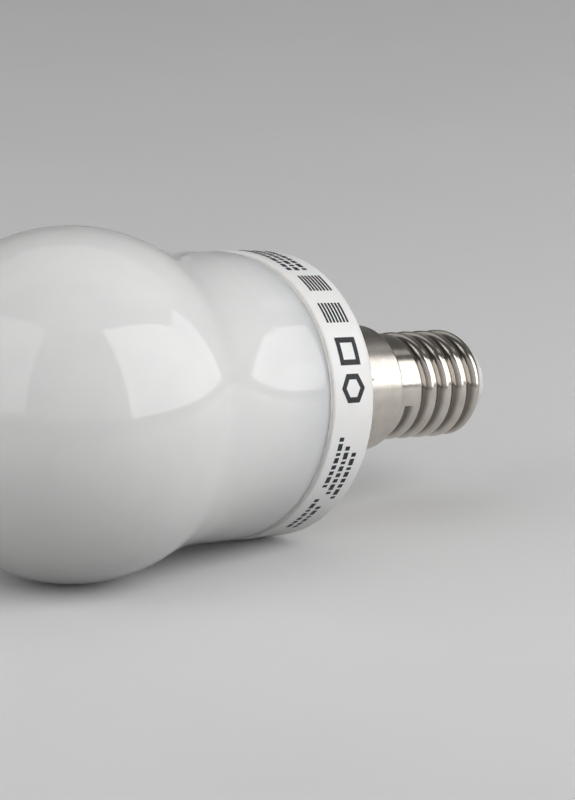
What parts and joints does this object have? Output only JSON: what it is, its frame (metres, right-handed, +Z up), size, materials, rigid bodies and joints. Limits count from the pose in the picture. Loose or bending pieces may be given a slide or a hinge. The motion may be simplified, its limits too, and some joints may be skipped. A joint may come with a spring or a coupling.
{
  "type": "opal globe energy saving bulb",
  "caption": "Mini-globe energy saving bulb: opal glass globe with a waisted neck, white plastic collar and a nickel-plated small screw cap.",
  "frame": {"origin": "on the surface that the lamp lies on, under the middle of its bounding box", "axes": "+Z up, +X along the lying lamp from the globe towards the cap, +Y across it"},
  "size_m": [0.0944, 0.045, 0.045],
  "materials": {
    "opal_glass": "glossy opal",
    "cement": "matt",
    "white_plastic": "satin",
    "nickel": "nickel plate",
    "insulator": "satin",
    "contact": "tinned"
  },
  "bodies": {
    "root": {"opal_bulb": "opal_glass", "cement_ring": "cement", "ballast_housing": "white_plastic", "screw_shell": "nickel", "cap_insulator": "insulator", "centre_contact": "contact"}
  },
  "joints": []
}
